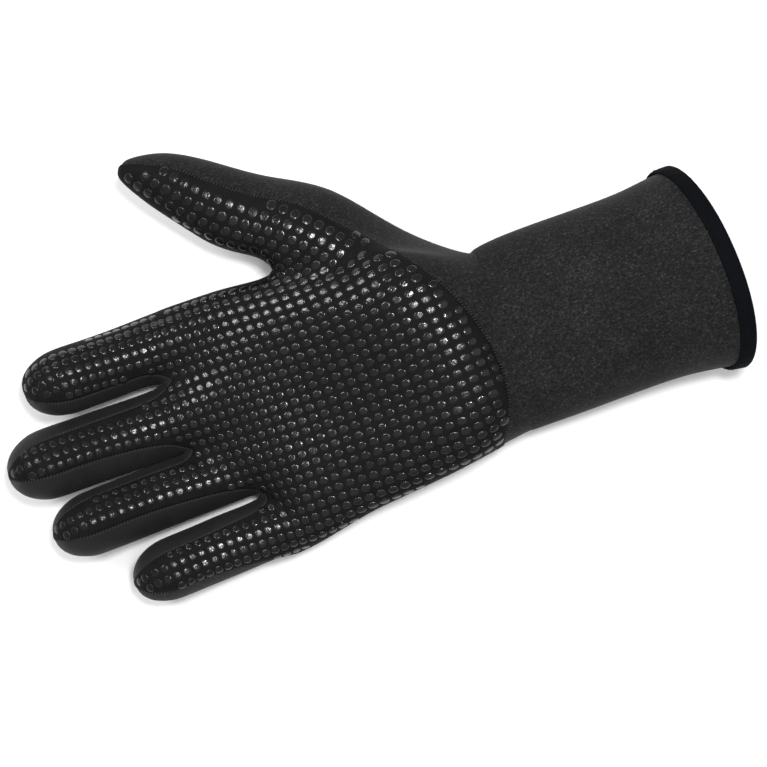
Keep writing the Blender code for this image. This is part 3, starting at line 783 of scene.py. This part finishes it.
def panel_piece(surface, panel, outside, depths, skin):
    """One panel of the glove, with edges that roll down into the seams, a foam rim and a lining."""
    hand = opened(surface)
    uv = hand.loops.layers.uv["flat"]
    faces = {f for f in hand.faces if f.material_index == panel}
    made = bmesh.new()
    flat = made.verts.layers.float_vector.new("flat")
    turns = [math.radians(a) for a in (0, 30, 60, 90)]
    profile = [(SEAM_GAP / 2 + ROLL * (1 - math.sin(a)), outside - ROLL * (1 - math.cos(a))) for a in turns]
    steps = {}
    for vertex in {v for f in faces for v in f.verts}:
        place = next((loop[uv].uv for loop in vertex.link_loops if loop.face in faces), Vector((0, 0)))
        depth = depths[vertex.index]
        on_seam = any(not all(f in faces for f in e.link_faces) or e.is_boundary for e in vertex.link_edges)
        pull = inward(vertex, faces) if on_seam else Vector()
        rows = profile + [(SEAM_GAP / 2, -depth)] if on_seam else [(0, outside), (0, -depth)]
        corners = [vertex.co + pull * inset + vertex.normal * rise for inset, rise in rows]
        steps[vertex] = [made.verts.new(corner) for corner in corners]
        for corner in steps[vertex]:
            corner[flat] = (place.x, place.y, 0)
    for f in faces:
        made.faces.new([steps[v][0] for v in f.verts])
        made.faces.new([steps[v][-1] for v in reversed(f.verts)]).material_index = 2
        for loop in f.loops:
            if not any(other in faces for other in loop.edge.link_faces if other is not f):
                here, there = steps[loop.vert], steps[loop.link_loop_next.vert]
                for k in range(len(here) - 1):
                    side = made.faces.new((here[k], here[k + 1], there[k + 1], there[k]))
                    side.material_index = 1 if k == len(here) - 2 else 0
    hand.free()
    name = PANEL_NAMES[panel]
    add_piece(name + "_soft", made, [skin, "foam", "lining"], [name])


def add_piece(name, made, finishes, nodes=(), slot_name=None):
    """A piece of the glove from its faces, its finishes and the nodes that it takes the place of."""
    bmesh.ops.recalc_face_normals(made, faces=made.faces)
    mesh = bpy.data.meshes.new(name)
    made.to_mesh(mesh)
    made.free()
    for finish in finishes:
        mesh.materials.append(FINISHES[finish])
    mesh.shade_smooth()
    mesh.set_sharp_from_angle(angle=SHARP)
    piece = in_scene(name, mesh)
    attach(piece, "root")
    if nodes:
        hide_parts(*nodes)
    if slot_name is None:
        slot_name = "gusset" if name.startswith("gusset") else name.removesuffix("_soft")


def ease_pattern(surface):
    """Evens out the flat pattern, so that its lengths come near those on the hand surface."""
    flat_layer = surface.uv_layers["flat"].data
    own = [polygon for polygon in surface.polygons if polygon.material_index == PALM]
    corners = [(loop, surface.loops[loop].vertex_index) for polygon in own for loop in polygon.loop_indices]
    place = {vertex: k for k, vertex in enumerate(sorted({vertex for _, vertex in corners}))}
    flat = np.zeros((len(place), 2))
    for loop, vertex in corners:
        flat[place[vertex]] = flat_layer[loop].uv
    points = np.array([surface.vertices[vertex].co for vertex in place])
    pairs = set()
    for polygon in own:
        around = [place[vertex] for vertex in polygon.vertices]
        for a, b in zip(around, around[1:] + around[:1]):
            pairs.add((min(a, b), max(a, b), 1.0))
        if len(around) == 4:
            pairs.add((around[0], around[2], PATTERN_STIFFNESS))
            pairs.add((around[1], around[3], PATTERN_STIFFNESS))
    ties = np.array(sorted(pairs))
    first, second, weight = ties[:, 0].astype(int), ties[:, 1].astype(int), ties[:, 2]
    length = np.linalg.norm(points[first] - points[second], axis=1)
    total = np.bincount(first, weight, len(place)) + np.bincount(second, weight, len(place))
    before = flat
    for _ in range(PATTERN_ROUNDS):
        apart = flat[first] - flat[second]
        wanted = apart * (length / np.maximum(1e-6, np.linalg.norm(apart, axis=1)))[:, None]
        moved = np.zeros_like(flat)
        for axis in (0, 1):
            moved[:, axis] += np.bincount(first, weight * (flat[second, axis] + wanted[:, axis]), len(place))
            moved[:, axis] += np.bincount(second, weight * (flat[first, axis] - wanted[:, axis]), len(place))
        step = PATTERN_STEP * (moved / total[:, None] - flat) + PATTERN_GLIDE * (flat - before)
        before, flat = flat, flat + step
    for loop, vertex in corners:
        flat_layer[loop].uv = flat[place[vertex]]


def blend(vectors, shares):
    """The sum of some vectors, each by its share."""
    return sum((vector * share for vector, share in zip(vectors, shares)), Vector())


class Pattern:
    """The palm panel's outer face, found from places on its flat pattern and from points near it."""

    def __init__(self, surface):
        uv = surface.uv_layers["flat"].data
        self.corners = []
        flat_points, points, triangles = [], [], []
        surface.calc_loop_triangles()
        normals = [v.normal.copy() for v in surface.vertices]
        for triangle in surface.loop_triangles:
            if surface.polygons[triangle.polygon_index].material_index != PALM:
                continue
            triangles.append(tuple(range(len(points), len(points) + 3)))
            flat = [Vector((*uv[loop].uv, 0)) for loop in triangle.loops]
            around = [surface.vertices[k].co.copy() for k in triangle.vertices]
            flat_points += flat
            points += around
            self.corners.append((flat, around, [normals[k] for k in triangle.vertices]))
        self.flat_tree = BVHTree.FromPolygons(flat_points, triangles)
        self.tree = BVHTree.FromPolygons(points, triangles)

    def at(self, u, v):
        """(point, normal) on the hand surface at a place on the flat pattern, or None off the panel."""
        found = self.flat_tree.ray_cast(Vector((u, v, 1)), Vector((0, 0, -1)))
        if found[0] is None:
            return None
        flat, around, normals = self.corners[found[2]]
        shares = poly_3d_calc(flat, Vector((u, v, 0)))
        return blend(around, shares), blend(normals, shares).normalized()

    def near(self, point):
        """(point, normal) on the hand surface next to a point, or None where the panel doesn't reach it."""
        found, facing, triangle, _ = self.tree.find_nearest(point)
        off = point - found
        if (off - facing * off.dot(facing)).length > DOT_OVERHANG:
            return None
        _, around, normals = self.corners[triangle]
        shares = poly_3d_calc(around, found)
        return found, blend(normals, shares).normalized()


def lattice(low, high, pitch_at):
    """Places from low to high, each the local pitch from the last."""
    places = [low]
    while places[-1] < high:
        places.append(places[-1] + pitch_at(places[-1]))
    return places


def pitch_along(u):
    return DOT_ALONG_FINGER + (DOT_ALONG_PALM - DOT_ALONG_FINGER) * eased(u, *PALM_FROM)


def pitch_across(v):
    return DOT_ACROSS + (DOT_ACROSS_THUMB - DOT_ACROSS) * eased(v, *THUMB_FROM)


def dot_places(pattern):
    """(point, direction along the hand, direction across it, half length, half width) of each dot."""
    kept = []
    columns, rows = lattice(*PATTERN_U, pitch_along), lattice(*PATTERN_V, pitch_across)
    taken = KDTree(len(columns) * len(rows))
    step = 0.0005
    for u in columns:
        for v in rows:
            here, ahead, beside = pattern.at(u, v), pattern.at(u + step, v), pattern.at(u, v + step)
            if here is None or ahead is None or beside is None:
                continue
            point, normal = here
            if normal.z < DOT_FACING:
                continue
            along = (ahead[0] - point).normalized()
            across = (beside[0] - point).normalized()
            along = (along + across.cross(normal)).normalized()
            across = normal.cross(along)
            half_u, half_v = DOT_HALF_ALONG * pitch_along(u), DOT_HALF_ACROSS * pitch_across(v)
            edge = [along * half_u * math.cos(a) + across * half_v * math.sin(a) for a in DOT_TURNS]
            found = [pattern.near(point + away * DOT_EDGE) for away in edge]
            if any(spot is None or spot[1].dot(normal) < DOT_BEND for spot in found):
                continue
            taken.balance()
            if kept and taken.find(point)[2] < DOT_APART:
                continue
            taken.insert(point, len(kept))
            kept.append((point, along, across, half_u, half_v))
    return kept


def grip_dots(surface):
    """The raised dots of the grip. Each is a low dome with small faults of its own."""
    pattern = Pattern(surface)
    chance = random.Random(11)
    made = bmesh.new()
    shade = made.verts.layers.float_vector.new("dot")
    for middle, along, across, half_u, half_v in dot_places(pattern):
        tilt, tilt_way = chance.uniform(0, DOT_TILT), chance.uniform(0, math.tau)
        size = chance.uniform(*DOT_SIZES)
        tone = (chance.random(), gloss(middle), 0.0)
        rings = []
        for share, height in DOT_PROFILE:
            ring = []
            for a in DOT_TURNS if share else (0.0,):
                rough = DOT_ROUGH * share if share < DOT_RIM else 0.0
                uneven = chance.uniform(-1, 1) * rough + tilt * share * math.cos(a - tilt_way)
                wide = share * size * (1 + chance.uniform(-DOT_ROUGH, DOT_ROUGH) * (share > DOT_RIM))
                beside = middle + along * wide * half_u * math.cos(a) + across * wide * half_v * math.sin(a)
                point, normal = pattern.near(beside) or (beside, along.cross(across))
                rise = GRIP_PROUD + (height if share == DOT_PROFILE[-1][0] else height + uneven) / 1000
                vertex = made.verts.new(point + normal * rise)
                vertex[shade] = tone
                ring.append(vertex)
            rings.append(ring)
        for k in range(DOT_SIDES):
            after = (k + 1) % DOT_SIDES
            made.faces.new((rings[0][0], rings[1][k], rings[1][after]))
            for near, far in zip(rings[1:], rings[2:]):
                made.faces.new((near[k], far[k], far[after], near[after]))
    add_piece("grip_dots", made, ["dots"], slot_name="palm_panel")


def gloss(point):
    """A dot's gloss, from 0 at the tips of the fingers and the thumb to 1 on the palm."""
    dull, glossy, lag = DOT_DULLING
    start, end = DOT_DULLING_THUMB
    return min(eased(point.x + lag * point.y, dull, glossy), 1 - eased(point.y, start, end))


def seam_chains(surface):
    """Runs of seam points in order: each a list of (point, normal, height of the higher panel's face)."""
    hand = opened(surface)
    seams = {e for e in hand.edges if len({f.material_index for f in e.link_faces}) == 2}
    at = {}
    for edge in seams:
        for vertex in edge.verts:
            at.setdefault(vertex, []).append(edge)
    chains = []
    starts = [v for v, edges in at.items() if len(edges) != 2] + list(at)
    for start in sorted(starts, key=lambda v: (len(at[v]) == 2, v.index)):
        for first in sorted(at[start], key=lambda e: e.index):
            if first not in seams:
                continue
            chain, vertex, edge = [start], start, first
            while edge in seams:
                seams.discard(edge)
                vertex = edge.other_vert(vertex)
                chain.append(vertex)
                onward = [e for e in at[vertex] if e in seams]
                if len(at[vertex]) != 2 or not onward:
                    break
                edge = onward[0]
            heights = [GRIP_PROUD * any(f.material_index == PALM for f in v.link_faces) for v in chain]
            chains.append([(v.co.copy(), v.normal.copy(), height) for v, height in zip(chain, heights)])
    hand.free()
    return chains


def add_thread(made, points, normal):
    """A thread through a few points, closed at its ends."""
    turns = [math.tau * k / THREAD_SIDES for k in range(THREAD_SIDES)]
    rings = []
    for k, point in enumerate(points):
        ahead = points[min(k + 1, len(points) - 1)] - points[max(k - 1, 0)]
        side = ahead.cross(normal).normalized()
        up = side.cross(ahead).normalized()
        radius = THREAD * (THREAD_END if k in (0, len(points) - 1) else 1)
        around = [(side * math.cos(a) + up * math.sin(a)) * radius for a in turns]
        rings.append([made.verts.new(point + away) for away in around])
    for near, far in zip(rings, rings[1:]):
        for k in range(THREAD_SIDES):
            after = (k + 1) % THREAD_SIDES
            made.faces.new((near[k], far[k], far[after], near[after]))
    made.faces.new(rings[0])
    made.faces.new(reversed(rings[-1]))


def walk(chain, pitch):
    """(point, normal, height, direction) at even steps along a chain."""
    run = pitch / 2
    for (a, na, ha), (b, nb, hb) in zip(chain, chain[1:]):
        length = (b - a).length
        while run < length:
            share = run / length
            normal = na.lerp(nb, share).normalized()
            yield a.lerp(b, share), normal, ha + (hb - ha) * share, (b - a).normalized()
            run += pitch
        run -= length


def seam_stitches(surface):
    """Short slanted stitches over the groove of each seam."""
    made = bmesh.new()
    chance = random.Random(5)
    for chain in seam_chains(surface):
        for point, normal, height, along in walk(chain, STITCH_PITCH):
            across = normal.cross(along).normalized()
            reach = across * STITCH_HALF * chance.uniform(*STITCH_SIZES) + along * STITCH_SLANT
            base = point + normal * height * STITCH_LIFT
            points = [base + reach * share + normal * rise / 1000 for share, rise in STITCH_SHAPE]
            add_thread(made, points, normal)
    add_piece("seam_stitches", made, ["thread"], slot_name="gusset")


def cuff_end(surface):
    """The cuff's open end in order: (point, normal, direction back along the cuff) for each."""
    hand = opened(surface)
    border = {v: [e for e in v.link_edges if e.is_boundary] for v in hand.verts if v.is_boundary}
    start = max(border, key=lambda v: v.co.y)
    order, previous, current = [], None, start
    while current is not start or not order:
        order.append(current)
        following = [e.other_vert(current) for e in border[current]]
        step = following[0] if following[0] is not previous else following[1]
        previous, current = current, step
    rim = []
    for vertex in order:
        inland = next(e.other_vert(vertex) for e in vertex.link_edges if not e.is_boundary)
        rim.append((vertex.co.copy(), vertex.normal.copy(), (inland.co - vertex.co).normalized()))
    hand.free()
    return rim


def binding_section():
    """(back along the cuff, out from its outer face) round the folded tape."""
    near, far = BINDING_GAP, BINDING_GAP + BINDING_THICKNESS
    width = BINDING_WIDTH
    middle, half = -WALL / 2, WALL / 2 + far
    turns = [math.radians(degrees) for degrees in range(75, -76, -15)]
    fold = [(-far * math.cos(a), middle + half * math.sin(a)) for a in turns]
    # The outer face ends in a rounded edge and is a little proud in its middle
    edge = [(width, near), (width + 0.0001, near + 0.0005), (width - 0.0003, far - 0.0001)]
    outer = [*edge, (width - 0.0011, far), (width / 2, far + 0.0001), (0.0006, far)]
    inner = [(along, -WALL - out) for along, out in reversed(outer)]
    inside = [(-near, -WALL - near), (-near, near)]
    return outer + fold + inner + inside


def cuff_binding(rim):
    """The tape folded over the cuff's end, a little uneven along it."""
    made = bmesh.new()
    section = binding_section()
    most, short, long = PUCKER
    rings = []
    for k, (point, normal, back) in enumerate(rim):
        pucker = 1 + most * math.sin(k * short) * math.sin(k * long)
        rings.append([made.verts.new(point + back * along + normal * out * pucker) for along, out in section])
    for here, there in zip(rings, rings[1:] + rings[:1]):
        for k in range(len(section)):
            after = (k + 1) % len(section)
            made.faces.new((here[k], here[after], there[after], there[k]))
    add_piece("cuff_binding_soft", made, ["tape"], ["cuff_binding"])


def binding_stitches(rim):
    """The row of stitches near the tape's edge, on its outer and its inner face."""
    made = bmesh.new()
    proud = BINDING_GAP + BINDING_THICKNESS
    inland = BINDING_WIDTH - HEM_EDGE
    for side, out in ((1, proud), (-1, -WALL - proud)):
        chain = [(point + back * inland + n * out, n * side, 0.0) for point, n, back in rim + rim[:1]]
        for point, normal, _, along in walk(chain, HEM_PITCH):
            points = [point + along * HEM_HALF * share + normal * rise / 1000 for share, rise in HEM_SHAPE]
            add_thread(made, points, normal)
    add_piece("binding_stitches", made, ["tape"], slot_name="cuff_binding")


class Finish:
    """A procedural material under making."""

    def __init__(self, name, roughness, specular=0.5, sheen=0.0):
        self.material = bpy.data.materials.new(name)
        self.material.use_nodes = True
        self.tree = self.material.node_tree
        self.shader = self.tree.nodes["Principled BSDF"]
        self.shader.inputs["Roughness"].default_value = roughness
        self.shader.inputs["Specular IOR Level"].default_value = specular
        if sheen:
            self.shader.inputs["Sheen Weight"].default_value = sheen
            self.shader.inputs["Sheen Roughness"].default_value = 0.5

    def node(self, kind, **settings):
        made = self.tree.nodes.new(kind)
        for key, value in settings.items():
            if key in made.inputs:
                made.inputs[key].default_value = value
            else:
                setattr(made, key, value)
        return made

    def link(self, source, target):
        self.tree.links.new(source, target)

    def place(self, scale=(1, 1, 1), turn=(0, 0, 0), attribute=None):
        """Coordinates in metres: the object's own, or a stored attribute's."""
        if attribute:
            source = self.node("ShaderNodeAttribute", attribute_name=attribute).outputs["Vector"]
        else:
            source = self.node("ShaderNodeTexCoord").outputs["Object"]
        mapping = self.node("ShaderNodeMapping", Scale=scale, Rotation=turn)
        self.link(source, mapping.inputs["Vector"])
        return mapping.outputs["Vector"]

    def noise(self, place, scale, detail=2.0, rough=0.5, distortion=0.0):
        settings = {"Scale": scale, "Detail": detail, "Roughness": rough, "Distortion": distortion}
        made = self.node("ShaderNodeTexNoise", **settings)
        self.link(place, made.inputs["Vector"])
        return made.outputs["Fac"]

    def wave(self, place, scale, direction, distortion=0.0):
        made = self.node("ShaderNodeTexWave", Scale=scale, Distortion=distortion)
        made.bands_direction = direction
        self.link(place, made.inputs["Vector"])
        return made.outputs["Fac"]

    def sum(self, first, second, share):
        """first and second mixed, with that share of second."""
        mix = self.node("ShaderNodeMix", data_type="FLOAT")
        mix.inputs[0].default_value = share
        self.link(first, mix.inputs[2])
        self.link(second, mix.inputs[3])
        return mix.outputs[0]

    def ramp(self, value, *stops):
        """Grey or coloured stops, as (place, colour)."""
        made = self.node("ShaderNodeValToRGB")
        elements = made.color_ramp.elements
        while len(elements) < len(stops):
            elements.new(0.5)
        for element, (place, colour) in zip(elements, stops):
            element.position = place
            element.color = (*colour, 1) if isinstance(colour, tuple) else (colour, colour, colour, 1)
        self.link(value, made.inputs["Fac"])
        return made.outputs["Color"]

    def bump(self, height, strength, distance):
        made = self.node("ShaderNodeBump", Strength=strength, Distance=distance)
        self.link(height, made.inputs["Height"])
        return made.outputs["Normal"]

    def use(self, name, output):
        self.link(output, self.shader.inputs[name])


def heather():
    """Charcoal stretch knit with pale and dark fibres mixed in."""
    made = Finish("heather_knit", 0.9, 0.15, 0.04)
    place = made.place()
    specks = made.noise(place, 1100, 2.5, 0.65, 0.6)
    fibres = made.noise(made.place((1, 3.2, 1.6), (0, 0, 0.35)), 520, 2.0, 0.6, 1.2)
    both = made.sum(specks, fibres, 0.45)
    patches = made.noise(place, 46, 2.0)
    tone = made.sum(both, patches, 0.10)
    made.use("Base Color", made.ramp(tone, (0.36, 0.0015), (0.46, 0.0052), (0.55, 0.0132), (0.66, 0.042)))
    made.use("Roughness", made.ramp(fibres, (0.3, 0.78), (0.7, 0.95)))
    made.use("Normal", made.bump(both, 0.35, 0.00025))
    return made.material


def grip_fabric():
    """Black coated knit between the dots."""
    made = Finish("grip_fabric", 0.75, 0.06)
    flat = made.place(attribute="flat")
    wales = made.wave(flat, 1050, "X", 0.4)
    courses = made.wave(flat, 1250, "Y", 0.4)
    knit = made.sum(wales, courses, 0.5)
    cloud = made.noise(made.place(), 170, 3.0, 0.6)
    made.use("Base Color", made.ramp(made.sum(cloud, knit, 0.25), (0.3, 0.0042), (0.7, 0.0090)))
    made.use("Roughness", made.ramp(cloud, (0.3, 0.62), (0.7, 0.82)))
    made.use("Normal", made.bump(knit, 0.30, 0.00015))
    return made.material


def dot_rubber():
    """Black printed rubber, each dot a little glossier or duller than the next, and duller at the tips."""
    made = Finish("grip_rubber", 0.2, 0.42)
    own = made.node("ShaderNodeSeparateXYZ")
    made.link(made.node("ShaderNodeAttribute", attribute_name="dot").outputs["Vector"], own.inputs["Vector"])
    tone, glossy = own.outputs["X"], own.outputs["Y"]
    place = made.place()
    cloud = made.noise(place, 620, 2.0, 0.6, 0.8)
    both = made.sum(cloud, tone, 0.35)
    shade = made.sum(both, glossy, 0.45)
    made.use("Base Color", made.ramp(shade, (0.15, 0.0105), (0.35, 0.0075), (0.60, 0.0030), (0.85, 0.0060)))
    made.use("Roughness", made.ramp(both, (0.25, 0.14), (0.75, 0.26)))
    made.use("Specular IOR Level", made.ramp(glossy, (0.0, 0.20), (1.0, 0.42)))
    made.use("Normal", made.bump(made.noise(place, 900, 1.5, 0.5, 0.5), 0.4, 0.00035))
    return made.material


def jersey():
    """Smooth black jersey with fine ribs along the fingers."""
    made = Finish("jersey", 0.7, 0.18, 0.02)
    place = made.place()
    ribs = made.wave(made.place((1, 0.7, 1)), 700, "DIAGONAL", 0.6)
    cross = made.wave(place, 900, "X", 0.8)
    knit = made.sum(ribs, cross, 0.3)
    cloud = made.noise(place, 120, 3.0, 0.6)
    made.use("Base Color", made.ramp(made.sum(knit, cloud, 0.5), (0.3, 0.0065), (0.7, 0.0130)))
    made.use("Roughness", made.ramp(cloud, (0.3, 0.55), (0.7, 0.72)))
    made.use("Normal", made.bump(knit, 0.35, 0.0002))
    return made.material


def tape():
    """Black woven tape with a faint blue cast."""
    made = Finish("binding_tape", 0.75, 0.03)
    place = made.place()
    threads = made.wave(made.place((1, 1, 1), (0, 0, 0.1)), 800, "Y", 0.5)
    cross = made.wave(place, 620, "X", 0.3)
    weave = made.sum(threads, cross, 0.5)
    cloud = made.noise(place, 90, 3.0, 0.6)
    tone = made.sum(weave, cloud, 0.5)
    made.use("Base Color", made.ramp(tone, (0.3, (0.002, 0.0023, 0.003)), (0.7, (0.0045, 0.0052, 0.0066))))
    made.use("Roughness", made.ramp(cloud, (0.3, 0.65), (0.7, 0.8)))
    made.use("Normal", made.bump(weave, 0.4, 0.0002))
    return made.material


def plain_textile(name, dark, light, roughness, scale):
    """A fine even textile or foam, for thread, lining and cut edges."""
    made = Finish(name, roughness, 0.25, 0.1)
    place = made.place()
    grain = made.noise(place, scale, 2.5, 0.6)
    cloud = made.noise(place, scale / 12, 2.0, 0.5)
    made.use("Base Color", made.ramp(made.sum(grain, cloud, 0.4), (0.3, dark), (0.7, light)))
    made.use("Roughness", made.ramp(grain, (0.3, roughness - 0.08), (0.7, roughness + 0.08)))
    made.use("Normal", made.bump(grain, 0.4, 0.0002))
    return made.material


FINISHES = {
    "palm": grip_fabric(),
    "back": heather(),
    "gusset": jersey(),
    "dots": dot_rubber(),
    "tape": tape(),
    "thread": plain_textile("thread", (0.012, 0.012, 0.009), (0.026, 0.026, 0.019), 0.6, 2600),
    "foam": plain_textile("cut_foam", 0.006, 0.014, 0.85, 1500),
    "lining": plain_textile("lining", 0.010, 0.020, 0.8, 1300),
}


def make_glove():
    surface = smooth_hand(hand_cage(), FINE)
    ease_pattern(surface)
    depths = wall_depths(surface)
    panel_piece(surface, PALM, GRIP_PROUD, depths, "palm")
    panel_piece(surface, BACK, 0, depths, "back")
    for panel in (INDEX_MIDDLE, MIDDLE_RING, RING_LITTLE):
        panel_piece(surface, panel, 0, depths, "gusset")
    grip_dots(surface)
    seam_stitches(surface)
    rim = cuff_end(surface)
    cuff_binding(rim)
    binding_stitches(rim)
    bpy.data.meshes.remove(surface)


def make_floor():
    mesh = bpy.data.meshes.new("floor")
    made = bmesh.new()
    bmesh.ops.create_grid(made, x_segments=8, y_segments=8, size=FLOOR_HALF)
    for vertex in made.verts:
        vertex.co.z = -FLOOR_CLEAR
    made.to_mesh(mesh)
    made.free()
    finish = Finish("pale_floor", 0.9, 0.1)
    finish.use("Base Color", finish.ramp(finish.noise(finish.place(), 3, 2.0), (0.3, 0.93), (0.7, 0.95)))
    mesh.materials.append(finish.material)
    floor = in_scene("floor", mesh)
    floor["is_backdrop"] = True


def area_light(name, place, target, size, power):
    data = bpy.data.lights.new(name, "AREA")
    data.shape = "RECTANGLE"
    data.size, data.size_y = size
    data.energy = power
    light = in_scene(name, data)
    light.location = place
    light.rotation_euler = (Vector(target) - Vector(place)).to_track_quat("-Z", "Y").to_euler()


def make_camera():
    data = bpy.data.cameras.new("camera")
    data.sensor_width = SENSOR
    data.lens = SENSOR * CAMERA_REACH / (PIXELS * PIXEL)
    data.clip_start = 0.01
    camera = in_scene("camera", data)
    camera.location = CAMERA_PLACE
    camera.rotation_euler = (0, 0, CAMERA_TURN)
    bpy.context.scene.camera = camera


def make_light():
    world = bpy.data.worlds.new("studio")
    bpy.context.scene.world = world
    world.use_nodes = True
    background = world.node_tree.nodes["Background"]
    background.inputs["Color"].default_value = (1, 1, 1, 1)
    background.inputs["Strength"].default_value = AMBIENT
    for row in LIGHTS:
        area_light(*row)
    bpy.context.scene.view_settings.view_transform = "Standard"


make_floor()
make_camera()
make_light()
make_glove()

boxes = {"cad": cad_box, "visual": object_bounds()}
{name: [list(corner) for corner in box] for name, box in boxes.items()}
